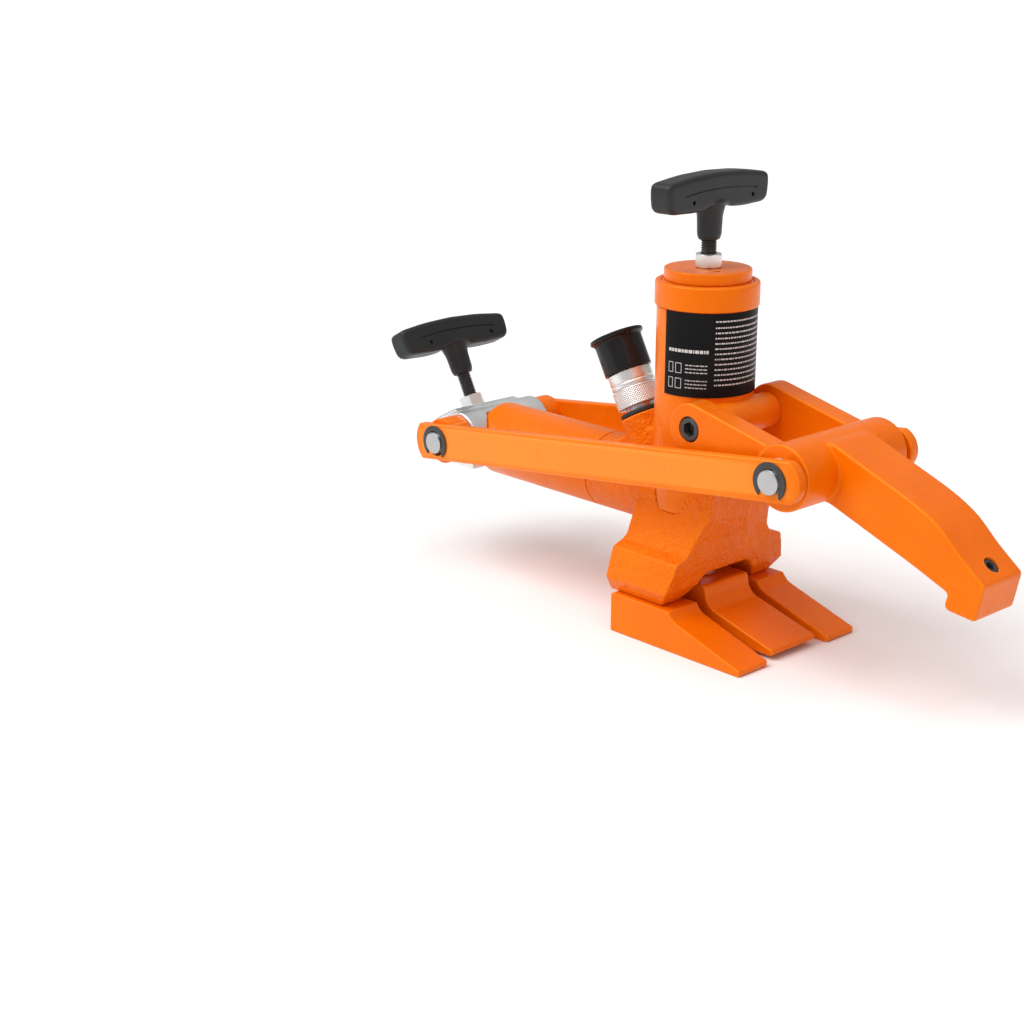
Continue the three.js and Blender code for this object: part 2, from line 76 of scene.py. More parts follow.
# Shapes, in millimetres
GAP = 0.3  # clearance between pieces that touch
BARREL = {"radius": 37.5, "bottom": 96, "shoulder": 251.2, "neck": 34, "top": 269.9}
COLLAR = {
    "radius": 39.2, "inner": 34.6, "bottom": 251.5, "top": 270, "low_edge": 1.2, "high_edge": 2.2,
}
CAP = {"radius": 32.8, "bottom": 270.3, "top": 279, "edge": 1.3}
SPANNER_HOLE = {"radius": 2.6, "depth": 4, "places": ((18, -10), (-18, 10))}
COIL = {"radius": 22.4, "wire": 2.2, "turns": 7, "bottom": 111.3, "top": 239.5, "stroke": 80.5}
TRUNNION = {"x": 33.8, "z": 170.5, "radius": 13.5, "half_length": 34.7}
ARM_PIN = (123.5, 153.4)
RAM_PIN = (-235.5, 108.6)
PIN = {
    "radius": 9, "half_length": 72, "chamfer": 1.1,
    "groove": 8, "groove_in": 69, "groove_out": 70.8,
}
PIN_BORE = PIN["radius"] + GAP
LINK = {
    "inner": 59.8, "thickness": 9, "half_height": 15.1,
    "end": 25.6, "ram_radius": 22, "arm_radius": 16.5,
}
LINK_BOSS = {"radius": 19, "inner": 43, "hole": 11.5}
CLIP = {
    "inner": 9.5, "offset": 0.4, "outer": 14.3, "near": 69.1, "thickness": 1.3,
    "outer_arc": (-50, 230), "inner_arc": (216, -36),
}
HOUSING = {
    "height": 102.4, "radius": 30.8, "bore": 24, "thread": 27, "gland": 26.3,
    "gland_depth": 8, "inner_end": 80.3, "seam": 96.3, "mouth": 226,
}
BOSS = {"radius": 24.3, "half_length": 57}
CHEEK = {
    "inner": 35, "outer": 54, "radius": 19.5,
    "top_leaves_at": 76, "front_top": 169.5, "under": 18.8, "back": 5,
}
SOCKET_SEAT = {"radius": 9.8, "depth": 12.5}
HOOK_HALF_WIDTH = 23.1
HOOK_OUTLINE = [  # x, z and the size of the corner
    (118, 133), (138.2, 132.4, 6), (214.6, 103.7, 20), (242.3, 92, 2.2), (239.2, 80.4, 6),
    (264.8, 77.5, 2.2), (270.2, 104, 2.2), (250.5, 119.5, 6), (226, 142.6, 30), (139.5, 176, 4),
    (118, 176),
]
GRUB_SEAT = {"x": 260, "z": 111.8, "tilt": 36.9, "radius": 6.3, "bottom": -18, "top": 8}
THROUGH = 80  # far enough each way for a hole to go right through
STUD = {"radius": 5.95, "pitch": 1.75, "depth": 0.95, "reach": 14}
NUT = {"flats": 19, "height": 10, "hole": 6.2, "cone_across": 1.6, "cone_step": 0.16}
GRIP_HALF = [  # half of a grip's outline: across, up from its foot and the size of the corner
    (0, 24, 0), (11, 25.6, 3), (15.5, 23.3, 4), (29, 22.6, 4), (57.2, 23.6, 8), (58.8, 38.5, 3),
    (57.8, 45.8, 6), (29, 49.2, 8), (0, 50.3, 0),
]
GRIP_POST = [(0, 0), (8.6, 0, 1), (10, 4, 1), (10.5, 18, 3), (13.5, 29, 1), (0, 30)]
GRIP = {"half_thickness": 10, "rim": 3.6, "flattened": 0.86}
SEAM = {
    "height": 38.6, "drop": 3.4, "reach": 45, "half_width": 0.55, "depth": 0.9,
    "from": -41, "to": 45, "step": 2,
}
GRIP_HOLE = {"radius": 1.7, "depth": 2.2, "height": 30.6, "places": (-31, 38)}
TOP_STEM = 20.5  # how far each grip's foot stands off its seat
SIDE_STEM = 30.8
TOP_TURN = 3  # degrees, as NUT_TURN
NUT_TURN = 12
SIDE_SEAT = (-264.2, 122)
SIDE_TILT = 28
COUPLER_SEAT = (-62.2, 155)
COUPLER_TILT = 29
KNURL = {
    "radius": 18.3, "from": 8.2, "to": 20.6, "count": 24, "lean": 1.6, "depth": 0.65,
    "first_row": 7.6, "row_step": 0.3, "rows": 46,
}
LABEL = {"radius": 38.1, "inner": 37.8, "bottom": 188, "top": 251, "start": -99.5, "stop": 50}
DASH = {"radius": LABEL["radius"] + 0.03, "shortest": 1.2, "longest": 4.6, "space": 0.9}
SMALL_PRINT = {
    "start": -38, "stop": 40, "height": 1.1, "ragged": 3, "last_shorter": 14,
    "first": 245.2, "second": 240.6, "step": 3.9, "rows": 12,
}
TITLE = {"start": -93, "stop": -45, "middle": 222.5, "height": 2.4}
FRAMES = {
    "bottoms": (205.5, 194), "spans": ((-93, -86.5), (-83.5, -75.5)),
    "height": 7.8, "bar": 0.5, "post": 0.7,
}
NOTES = {"start": -71, "stop": -46, "height": 0.8, "first": 1.2, "step": 2.7, "rows": 3}
CAST = {  # voxel size and passes of smoothing
    "foot_block": (0.9, 3), "push_tongue": (0.8, 3), "body_casting": (0.9, 7),
    "clamp_plunger": (0.9, 3), "clamp_arm": (0.9, 4), "grip": (0.7, 6),
}
SHARP = 35.0  # degrees; an edge that turns more than this stays crisp

# Looks; scales are in waves per metre
EVEN = (1, 1, 1)
PATCHES = {"scale": 18, "source": (0.35, 0.65)}
GLOSS = {"scale": 60, "source": (0.3, 0.7)}
# painted highlight: the pointiness range over which sharp outer edges are lightened
EDGE_HIGHLIGHT = {"source": (0.515, 0.59), "target": (0, 0.8)}
TURNING = {"depth": 0.05, "distortion": 0.6}

# Studio, in metres and degrees
FLOOR = {"half_size": 20, "z": -0.0005}
WORLD_STRENGTH = 0.42
LIGHTS = {  # strength, softness, tilt, turn and colour
    "key": (2.0, 45, 42, -28, (1, 1, 1)),
    "top": (1.1, 50, 8, 20, (1, 1, 1)),
    "warm_fill": (0.55, 60, 80, 80, (1, 0.42, 0.25)),
}

random.seed(11)


def add_camera():
    data = bpy.data.cameras.new("camera")
    data.sensor_width = 36
    data.lens = CAMERA_LENS
    camera = bpy.data.objects.new("camera", data)
    camera.location = CAMERA_PLACE
    camera.rotation_euler = (math.radians(90 - CAMERA_DOWN), 0, math.radians(CAMERA_ROUND))
    scene.collection.objects.link(camera)
    scene.camera = camera


# Materials


def socket(tree, node, **values):
    """Sets or links a node's inputs, each named with underscores for spaces."""
    for key, value in values.items():
        target = node.inputs[key.replace("_", " ")]
        if isinstance(value, bpy.types.NodeSocket):
            tree.links.new(value, target)
        else:
            target.default_value = value
    return node


def noise(tree, scale, detail=3.0, stretch=(1, 1, 1)):
    """Noise in the piece's own coordinates, with scale in waves per metre."""
    coords = tree.nodes.new("ShaderNodeTexCoord")
    mapping = socket(tree, tree.nodes.new("ShaderNodeMapping"), Vector=coords.outputs["Object"])
    mapping.inputs["Scale"].default_value = stretch
    node = socket(tree, tree.nodes.new("ShaderNodeTexNoise"), Vector=mapping.outputs[0])
    return socket(tree, node, Scale=scale, Detail=detail).outputs["Fac"]


def remap(tree, value, source, target):
    node = tree.nodes.new("ShaderNodeMapRange")
    node.inputs["From Min"].default_value, node.inputs["From Max"].default_value = source
    node.inputs["To Min"].default_value, node.inputs["To Max"].default_value = target
    tree.links.new(value, node.inputs["Value"])
    return node.outputs["Result"]


def mix(tree, factor, first, second):
    node = tree.nodes.new("ShaderNodeMix")
    node.data_type = "RGBA"
    tree.links.new(factor, node.inputs[0])
    for value, target in ((first, node.inputs[6]), (second, node.inputs[7])):
        if isinstance(value, bpy.types.NodeSocket):
            tree.links.new(value, target)
        else:
            target.default_value = (*value, 1)
    return node.outputs[2]


def bump(tree, height, depth, under):
    """A layer of relief with a depth in mm, over the layers under it."""
    node = tree.nodes.new("ShaderNodeBump")
    node.inputs["Distance"].default_value = depth * MM
    tree.links.new(height, node.inputs["Height"])
    if under:
        tree.links.new(under, node.inputs["Normal"])
    return node.outputs["Normal"]


def finish(name, base, varied, rough, grain, metallic=0.0, specular=0.5, edge_highlight=None, rings=0,
           tint=(1, 1, 1)):
    """A material whose colour, gloss and surface all vary; an optional lighter colour on sharp outer
    edges is a painted highlight.

    grain lists layers of relief, each a scale, a depth in mm and a stretch; rings is the scale
    of turning marks about local Z.
    """
    material = bpy.data.materials.new(name)
    material.use_nodes = True
    tree = material.node_tree
    shader = tree.nodes["Principled BSDF"]
    patches = remap(tree, noise(tree, PATCHES["scale"]), PATCHES["source"], (0, 1))
    colour = mix(tree, patches, base, varied)
    # painted highlight: sharp outer edges take a lighter colour, as if catching the light
    if edge_highlight:
        geometry = tree.nodes.new("ShaderNodeNewGeometry")
        edges = remap(tree, geometry.outputs["Pointiness"], EDGE_HIGHLIGHT["source"], EDGE_HIGHLIGHT["target"])
        colour = mix(tree, edges, colour, edge_highlight)
    gloss = remap(tree, noise(tree, GLOSS["scale"]), GLOSS["source"], rough)
    normal = None
    for scale, depth, stretch in grain:
        normal = bump(tree, noise(tree, scale, 2.0, stretch), depth, normal)
    if rings:
        coords = tree.nodes.new("ShaderNodeTexCoord")
        wave = tree.nodes.new("ShaderNodeTexWave")
        wave.wave_type = "RINGS"
        wave.rings_direction = "Z"
        socket(tree, wave, Vector=coords.outputs["Object"], Scale=rings,
               Distortion=TURNING["distortion"])
        normal = bump(tree, wave.outputs["Fac"], TURNING["depth"], normal)
    socket(tree, shader, Base_Color=colour, Roughness=gloss, Normal=normal, Metallic=metallic)
    shader.inputs["Specular IOR Level"].default_value = specular
    shader.inputs["Specular Tint"].default_value = (*tint, 1)
    return material


ORANGE = (0.86, 0.166, 0.0)
ORANGE_DEEP = (0.80, 0.142, 0.0)
# lighter orange for sharp outer edges, a painted highlight
ORANGE_EDGE_HIGHLIGHT = (0.96, 0.30, 0.04)
ORANGE_GLOSS = (1, 0.6, 0.16)
FINISHES = {
    "orange_paint": finish("orange_paint", ORANGE, ORANGE_DEEP, (0.26, 0.36),
                           [(1100, 0.10, EVEN), (160, 0.5, EVEN)],
                           edge_highlight=ORANGE_EDGE_HIGHLIGHT, tint=ORANGE_GLOSS),
    "orange_cast": finish("orange_cast", ORANGE, ORANGE_DEEP, (0.30, 0.44),
                          [(520, 0.7, EVEN), (130, 2.0, EVEN)],
                          edge_highlight=ORANGE_EDGE_HIGHLIGHT, tint=ORANGE_GLOSS),
    "zinc": finish("zinc", (0.86, 0.88, 0.87), (0.74, 0.77, 0.76), (0.22, 0.38),
                   [(900, 0.06, EVEN), (90, 0.3, EVEN)], metallic=0.75),
    "pin_zinc": finish("pin_zinc", (0.52, 0.53, 0.53), (0.42, 0.43, 0.44), (0.26, 0.4),
                       [(900, 0.05, EVEN)], metallic=1.0, rings=260),
    "steel": finish("steel", (0.60, 0.60, 0.61), (0.48, 0.48, 0.5), (0.22, 0.4),
                    [(700, 0.08, (1, 1, 0.1))], metallic=1.0),
    "chrome": finish("chrome", (0.80, 0.80, 0.82), (0.72, 0.72, 0.74), (0.05, 0.14),
                     [(900, 0.03, (1, 1, 0.05))], metallic=1.0),
    "black_steel": finish("black_steel", (0.022, 0.022, 0.024), (0.035, 0.033, 0.032), (0.34, 0.52),
                          [(800, 0.08, EVEN)], specular=0.6),
    "bronze": finish("bronze", (0.50, 0.33, 0.14), (0.42, 0.26, 0.10), (0.3, 0.45),
                     [(700, 0.08, (1, 1, 0.2))], metallic=1.0),
    "rubber": finish("rubber", (0.012, 0.012, 0.013), (0.02, 0.02, 0.02), (0.5, 0.7),
                     [(1200, 0.1, EVEN)]),
    "grip_plastic": finish("grip_plastic", (0.015, 0.017, 0.018), (0.021, 0.023, 0.024), (0.34, 0.44),
                           [(2600, 0.10, EVEN), (500, 0.08, EVEN)], specular=0.3),
    # painted shade: near-black, darker than the grip, for the walls of cut seams and holes
    "groove": finish("groove", (0.006, 0.006, 0.006), (0.01, 0.01, 0.01), (0.6, 0.8),
                     [(900, 0.05, EVEN)]),
    "cap_plastic": finish("cap_plastic", (0.010, 0.010, 0.011), (0.016, 0.016, 0.017), (0.10, 0.18),
                          [(700, 0.04, EVEN)], specular=0.22),
    "label": finish("label", (0.006, 0.006, 0.007), (0.010, 0.010, 0.011), (0.36, 0.46),
                    [(500, 0.03, EVEN)], specular=0.08),
    "label_ink": finish("label_ink", (0.62, 0.62, 0.62), (0.42, 0.42, 0.42), (0.4, 0.5),
                        [(500, 0.02, EVEN)]),
}

NODES_OF_SLOT = {
    "zinc": ["clamp_plunger", "left_pin", "right_pin", "front_washer", "rear_washer",
             "coupler_sleeve", "coupler_lock_ring", "top_nut", "side_nut"],
    "steel": ["ram_piston", "coupler_nipple", "coupler_poppet", "ram_return_spring",
              "clamp_return_spring"],
    "chrome": ["ram_piston_rod"],
    "black_steel": ["foot_bolt_1", "foot_bolt_2", "foot_bolt_3", "foot_bolt_4", "tongue_screw",
                    "pivot_screw_front", "pivot_screw_rear", "hook_grub_screw", "left_circlip_front",
                    "left_circlip_rear", "right_circlip_front", "right_circlip_rear", "top_stud",
                    "side_stud"],
    "bronze": ["rod_bush", "clamp_gland_ring"],
    "rubber": ["cap_seal_ring", "ram_piston_seal", "plunger_seal", "coupler_seal"],
    "grip_plastic": ["top_grip", "side_grip"],
    "cap_plastic": ["dust_cap"],
    "label": ["rating_label"],
}
SLOT_OF = {node: slot for slot, nodes in NODES_OF_SLOT.items() for node in nodes}
PAINTED = "orange_paint"  # the slot of every other node


# Shapes


UPRIGHT = Matrix.Rotation(math.radians(90), 4, "X")  # lays local Z along -Y, with local Y up


def placed(x, z, tilt=0.0):
    """A seat in the plane Y = 0 whose own Z is tilted towards -X."""
    return Matrix.Translation((x * MM, 0, z * MM)) @ Matrix.Rotation(-math.radians(tilt), 4, "Y")


def across(x, z):
    """A seat in the plane Y = 0 whose own Z points to -Y."""
    return Matrix.Translation((x * MM, 0, z * MM)) @ UPRIGHT


def new_piece(name, bm, place=Matrix(), sharp=SHARP):
    bmesh.ops.recalc_face_normals(bm, faces=bm.faces)
    mesh = bpy.data.meshes.new(name)
    bm.to_mesh(mesh)
    bm.free()
    piece = bpy.data.objects.new(name, mesh)
    piece.matrix_world = place
    scene.collection.objects.link(piece)
    shade(piece, sharp)
    return piece


def shade(piece, sharp=SHARP):
    mesh = piece.data
    mesh.shade_smooth()
    mesh.set_sharp_from_angle(angle=math.radians(sharp))


def show(piece, node, material=None):
    """The piece stands for a CAD node: its body, its slot and its finish."""
    slot_of_node = SLOT_OF.get(node, PAINTED)
    piece.data.materials.clear()
    piece.data.materials.append(FINISHES[material or slot_of_node])
    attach(piece, frame["nodes"][node]["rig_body"])
    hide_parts(node)
    return piece


def rounded(points, radius, steps=4, closed=True):
    """An outline with every corner rounded by a short curve.

    A corner given as (a, b, r) has its own radius, and an open outline keeps its two ends.
    """
    count = len(points)
    result = []
    for i, point in enumerate(points):
        here = Vector(point[:2])
        if not closed and i in (0, count - 1):
            result.append(tuple(here))
            continue
        before = Vector(points[i - 1][:2])
        after = Vector(points[(i + 1) % count][:2])
        size = point[2] if len(point) > 2 else radius
        if size == 0:
            result.append(tuple(here))
            continue
        start = here + (before - here).normalized() * min(size, (before - here).length * 0.48)
        stop = here + (after - here).normalized() * min(size, (after - here).length * 0.48)
        for k in range(steps + 1):
            t = k / steps
            result.append(tuple(start * (1 - t) ** 2 + here * 2 * t * (1 - t) + stop * t * t))
    return result


def ring_of(bm, radius, z, count):
    """A ring of vertices about local Z; radius is a number or a function of the angle."""
    row = []
    for k in range(count):
        angle = 2 * math.pi * k / count
        here = radius(angle) if callable(radius) else radius
        row.append(bm.verts.new((here * math.cos(angle) * MM, here * math.sin(angle) * MM, z * MM)))
    return row


def skin(bm, rows):
    """Faces between neighbouring rings of vertices, with both ends closed."""
    for below, above in zip(rows, rows[1:]):
        for k in range(len(below)):
            bm.faces.new([below[k - 1], below[k], above[k], above[k - 1]])
    bm.faces.new(rows[0])
    bm.faces.new(rows[-1])


def lathe(name, profile, place=Matrix(), segments=128, radius_at=None, sharp=SHARP):
    """[radius, height] points turned about local Z; a profile off the axis closes on itself."""
    bm = bmesh.new()
    rows = []
    for r, z in profile:
        if r < 1e-6:
            rows.append([bm.verts.new((0, 0, z * MM))])
        elif radius_at:
            rows.append(ring_of(bm, lambda angle, r=r, z=z: radius_at(r, z, angle), z, segments))
        else:
            rows.append(ring_of(bm, r, z, segments))
    pairs = list(zip(rows, rows[1:]))
    if profile[0][0] > 1e-6:
        pairs.append((rows[-1], rows[0]))
    for low, high in pairs:
        for k in range(segments):
            n = (k + 1) % segments
            corners = [
                low[k % len(low)], low[n % len(low)], high[n % len(high)], high[k % len(high)],
            ]
            bm.faces.new(list(dict.fromkeys(corners)))
    return new_piece(name, bm, place, sharp)


def inset(points, amount):
    """An anticlockwise outline moved inwards by an amount."""
    result = []
    for i, here in enumerate(points):
        into = (here - points[i - 1]).normalized()
        out = (points[(i + 1) % len(points)] - here).normalized()
        first, second = Vector((-into.y, into.x)), Vector((-out.y, out.x))
        result.append(here + amount * (first + second) / max(0.3, 1 + first.dot(second)))
    return result


def slab(name, outline, low, high, place=Matrix(), rim=0.0, sharp=SHARP):
    """An outline in local X and Y, raised from one local Z to another, its rims rounded."""
    points = [Vector(p) for i, p in enumerate(outline) if math.dist(p, outline[i - 1]) > 0.02]
    if sum(p.cross(points[i - 1]) for i, p in enumerate(points)) > 0:
        points.reverse()
    turns = [math.radians(90 * k / 4) for k in range(5)] if rim else [math.radians(90)]
    levels = [(rim * (1 - math.sin(a)), low + rim * (1 - math.cos(a))) for a in turns]
    levels += [(rim * (1 - math.sin(a)), high - rim * (1 - math.cos(a))) for a in reversed(turns)]
    bm = bmesh.new()
    rows = [
        [bm.verts.new((p.x * MM, p.y * MM, z * MM)) for p in inset(points, amount)]
        for amount, z in levels
    ]
    skin(bm, rows)
    return new_piece(name, bm, place, sharp)


def settle(piece):
    """Makes the piece's modifiers part of its mesh."""
    evaluated = piece.evaluated_get(bpy.context.evaluated_depsgraph_get())
    mesh = bpy.data.meshes.new_from_object(evaluated)
    piece.modifiers.clear()
    old = piece.data
    piece.data = mesh
    bpy.data.meshes.remove(old)


def carve(piece, cutters, operation="DIFFERENCE", sharp=SHARP):
    """Cuts other pieces out of this one, or with "UNION" joins them to it, and removes them."""
    bpy.context.view_layer.update()
    for cutter in cutters:
        cut = piece.modifiers.new("cut", "BOOLEAN")
        cut.operation = operation
        cut.solver = "EXACT"
        cut.object = cutter
    settle(piece)
    for cutter in cutters:
        bpy.data.objects.remove(cutter)
    shade(piece, sharp)
    return piece


def joined(name, pieces):
    """One piece from several that overlap, ready to be cast into one skin."""
    bm = bmesh.new()
    for piece in pieces:
        mesh = piece.data
        mesh.transform(piece.matrix_world)
        bm.from_mesh(mesh)
        bpy.data.objects.remove(piece)
        bpy.data.meshes.remove(mesh)
    return new_piece(name, bm)


def cast(piece, voxel, passes):
    """Melts the piece into one skin with soft edges, as a casting has."""
    remesh = piece.modifiers.new("skin", "REMESH")
    remesh.mode = "VOXEL"
    remesh.voxel_size = voxel * MM
    soften = piece.modifiers.new("soften", "SMOOTH")
    soften.factor = 0.5
    soften.iterations = passes
    settle(piece)
    shade(piece, 60)
    return piece


def copy_of(node, name):
    """A new piece with a CAD node's shape, its flat faces whole."""
    bm = bmesh.new()
    bm.from_mesh(frame["nodes"][node].data)
    bmesh.ops.remove_doubles(bm, verts=bm.verts, dist=0.01 * MM)
    bmesh.ops.dissolve_limit(bm, angle_limit=math.radians(0.6), verts=bm.verts, edges=bm.edges)
    return new_piece(name, bm)


def bevelled(node, name, width):
    """A copy of a CAD node with its edges rounded, shown in its place."""
    piece = copy_of(node, name)
    bevel = piece.modifiers.new("edges", "BEVEL")
    bevel.width = width * MM
    bevel.segments = 3
    bevel.limit_method = "ANGLE"
    bevel.angle_limit = math.radians(28)
    settle(piece)
    shade(piece)
    return show(piece, node)


def drum(radius, low, high, place, edge, segments=96):
    """A plain round bar with rounded rims, to join to a piece or to cut from it."""
    profile = rounded([(0, low), (radius, low), (radius, high), (0, high)], edge, 3, closed=False)
    return lathe("drum", profile, place, segments)


def arc(cx, cy, radius, start, stop, steps):
    """Points on an arc between two angles in degrees."""
    return [
        (cx + radius * math.cos(math.radians(start + (stop - start) * k / steps)),
         cy + radius * math.sin(math.radians(start + (stop - start) * k / steps)))
        for k in range(steps + 1)
    ]


def foot():
    for node, name, material in (("foot_block", "foot_fingers", None),
                                 ("push_tongue", "middle_finger", None),
                                 ("body_casting", "ram_casting", "orange_cast")):
        show(cast(copy_of(node, name), *CAST[node]), node, material)


def push_ram():
    radius, bottom, shoulder = BARREL["radius"], BARREL["bottom"], BARREL["shoulder"]
    neck, top = BARREL["neck"], BARREL["top"]
    profile = [
        (0, bottom), (radius, bottom), (radius, shoulder), (neck, shoulder), (neck, top), (0, top),
    ]
    tube = lathe("push_ram_barrel", rounded(profile, 0.8, 3, closed=False), segments=180)
    half = TRUNNION["half_length"]
    cross = drum(TRUNNION["radius"], -half, half, across(TRUNNION["x"], TRUNNION["z"]), 0.8)
    show(carve(tube, [cross], "UNION"), "ram_barrel")

    inner, outer = COLLAR["inner"], COLLAR["radius"]
    low, high = COLLAR["bottom"], COLLAR["top"]
    profile = [
        (inner, low), (outer, low, COLLAR["low_edge"]), (outer, high, COLLAR["high_edge"]),
        (inner, high),
    ]
    show(lathe("push_ram_collar", rounded(profile, 0.3), segments=180), "ram_collar")

    radius, low, high = CAP["radius"], CAP["bottom"], CAP["top"]
    profile = [(0, low), (radius, low, 0.3), (radius, high, CAP["edge"]), (0, high)]
    cap = lathe("push_ram_cap", rounded(profile, 0.5, 4, closed=False), segments=160)
    holes = []
    for x, y in SPANNER_HOLE["places"]:
        place = Matrix.Translation((x * MM, y * MM, high * MM))
        holes.append(drum(SPANNER_HOLE["radius"], -SPANNER_HOLE["depth"], 3, place, 0.1, 32))
    show(carve(cap, holes), "ram_end_cap")


def return_coil():
    """The spring round the rod."""
    bm = bmesh.new()
    per_turn, around = 30, 10
    steps = COIL["turns"] * per_turn
    low, high = COIL["bottom"] + COIL["wire"], COIL["top"] - COIL["wire"]
    rows = []
    for k in range(steps + 1):
        angle = 2 * math.pi * k / per_turn
        z = low + (high - low) * k / steps
        row = []
        for j in range(around):
            lean = 2 * math.pi * j / around
            r = COIL["radius"] + COIL["wire"] * math.cos(lean)
            height = z + COIL["wire"] * math.sin(lean)
            x, y = r * math.cos(angle), r * math.sin(angle)
            row.append(bm.verts.new((x * MM, y * MM, height * MM)))
        rows.append(row)
    skin(bm, rows)
    coil = show(new_piece("push_return_coil", bm), "ram_return_spring")
    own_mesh(coil)


def label():
    """A black sheet round the barrel, with rows of dashes and two plain frames in place of print."""
    start, stop = LABEL["start"], LABEL["stop"]
    steps = int((stop - start) / 1.5)
    outline = arc(0, 0, LABEL["radius"], start, stop, steps)
    outline += arc(0, 0, LABEL["inner"], stop, start, steps)
    show(slab("label_sheet", outline, LABEL["bottom"], LABEL["top"]), "rating_label")
    bm = bmesh.new()

    def mark(start, stop, bottom, top):
        """A thin mark on the sheet, from one angle and height to another."""
        steps = max(1, int((stop - start) / 3))
        low, high = [], []
        for x, y in arc(0, 0, DASH["radius"], start, stop, steps):
            low.append(bm.verts.new((x * MM, y * MM, bottom * MM)))
            high.append(bm.verts.new((x * MM, y * MM, top * MM)))
        for k in range(steps):
            bm.faces.new([low[k], low[k + 1], high[k + 1], high[k]])

    def words(start, stop, middle, height):
        """A row of dashes with small gaps."""
        at = start
        while at < stop - 0.8:
            length = min(random.uniform(DASH["shortest"], DASH["longest"]), stop - at)
            mark(at, at + length, middle - height / 2, middle + height / 2)
            at += length + DASH["space"]

    start, stop, height = SMALL_PRINT["start"], SMALL_PRINT["stop"], SMALL_PRINT["height"]
    words(start, stop, SMALL_PRINT["first"], height)
    for row in range(SMALL_PRINT["rows"]):
        last = row == SMALL_PRINT["rows"] - 1
        shorter = SMALL_PRINT["last_shorter"] if last else random.uniform(0, SMALL_PRINT["ragged"])
        words(start, stop - shorter, SMALL_PRINT["second"] - row * SMALL_PRINT["step"], height)
    words(TITLE["start"], TITLE["stop"], TITLE["middle"], TITLE["height"])
    for low in FRAMES["bottoms"]:
        high = low + FRAMES["height"]
        for start, stop in FRAMES["spans"]:
            mark(start, stop, low, low + FRAMES["bar"])
            mark(start, stop, high - FRAMES["bar"], high)
            mark(start, start + FRAMES["post"], low, high)
            mark(stop - FRAMES["post"], stop, low, high)
        for row in range(NOTES["rows"]):
            middle = low + NOTES["first"] + row * NOTES["step"]
            words(NOTES["start"], NOTES["stop"], middle, NOTES["height"])
    marks = new_piece("label_marks", bm)
    marks.data.materials.append(FINISHES["label_ink"])
    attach(marks, "frame")


def clamp_ram():
    seat = placed(0, HOUSING["height"], 90)
    radius, bore, thread = HOUSING["radius"], HOUSING["bore"], HOUSING["thread"]
    inner_end, seam, mouth = HOUSING["inner_end"], HOUSING["seam"], HOUSING["mouth"]
    gland, gland_floor = HOUSING["gland"], mouth - HOUSING["gland_depth"]
    profile = [
        (bore, inner_end), (thread, inner_end), (thread, seam), (radius, seam, 0.8),
        (radius, mouth, 2.0), (gland, mouth, 0.4), (gland, gland_floor), (bore, gland_floor),
    ]
    show(lathe("clamp_ram_tube", rounded(profile, 0.3), seat, 160), "clamp_housing")
    head = copy_of("clamp_plunger", "clamp_ram_head")
    show(cast(head, *CAST["clamp_plunger"]), "clamp_plunger")


def cross_pins():
    radius, half, groove = PIN["radius"], PIN["half_length"], PIN["groove"]
    half_profile = [
        (radius, PIN["groove_in"]), (groove, PIN["groove_in"]), (groove, PIN["groove_out"]),
        (radius, PIN["groove_out"]), (radius, half, PIN["chamfer"]), (0, half),
    ]
    other_half = [(r, -z, *rim) for r, z, *rim in reversed(half_profile)]
    profile = rounded(other_half + half_profile, 0.1, 4, closed=False)
    show(lathe("ram_cross_pin", profile, across(*RAM_PIN), 96), "left_pin", "pin_zinc")
    show(lathe("arm_cross_pin", profile, across(*ARM_PIN), 96), "right_pin", "pin_zinc")
    outline = arc(0, 0, CLIP["outer"], *CLIP["outer_arc"], 60)
    outline += arc(CLIP["offset"], CLIP["offset"], CLIP["inner"], *CLIP["inner_arc"], 50)
    near, thick = CLIP["near"], CLIP["thickness"]
    for end, at in (("left", RAM_PIN), ("right", ARM_PIN)):
        for where, low in (("front", near), ("rear", -near - thick)):
            node = f"{end}_circlip_{where}"
            show(slab(node + "_ring", outline, low, low + thick, across(*at), 0.25), node)
    for node in ("front_washer", "rear_washer"):
        bevelled(node, node + "_disc", 0.3)


def links():
    dx, dz = ARM_PIN[0] - RAM_PIN[0], ARM_PIN[1] - RAM_PIN[1]
    length = math.hypot(dx, dz)
    place = across(*RAM_PIN) @ Matrix.Rotation(math.atan2(dz, dx), 4, "Z")
    half, end = LINK["half_height"], LINK["end"]
    arm = math.degrees(math.asin(half / LINK["arm_radius"]))
    ram = math.degrees(math.asin(half / LINK["ram_radius"]))
    outline = arc(length + end - LINK["arm_radius"], 0, LINK["arm_radius"], -arm, arm, 40)
    outline += arc(LINK["ram_radius"] - end, 0, LINK["ram_radius"], 180 - ram, 180 + ram, 30)
    inner, outer, face = LINK["inner"], LINK["inner"] + LINK["thickness"], LINK_BOSS["inner"]
    for node, bar_span, boss_span in (
            ("front_link", (inner, outer), (face, inner + 2)),
            ("rear_link", (-outer, -inner), (-inner - 2, -face))):
        bar = slab(node + "_bar", outline, *bar_span, place, 1.3)
        carve(bar, [drum(LINK_BOSS["radius"], *boss_span, place, 0.8)], "UNION")
        far_end = place @ Matrix.Translation((length * MM, 0, 0))
        eye = drum(LINK_BOSS["hole"], -THROUGH, THROUGH, place, 0.1, 64)
        bore = drum(PIN_BORE, -THROUGH, THROUGH, far_end, 0.1, 64)
        show(carve(bar, [eye, bore]), node)


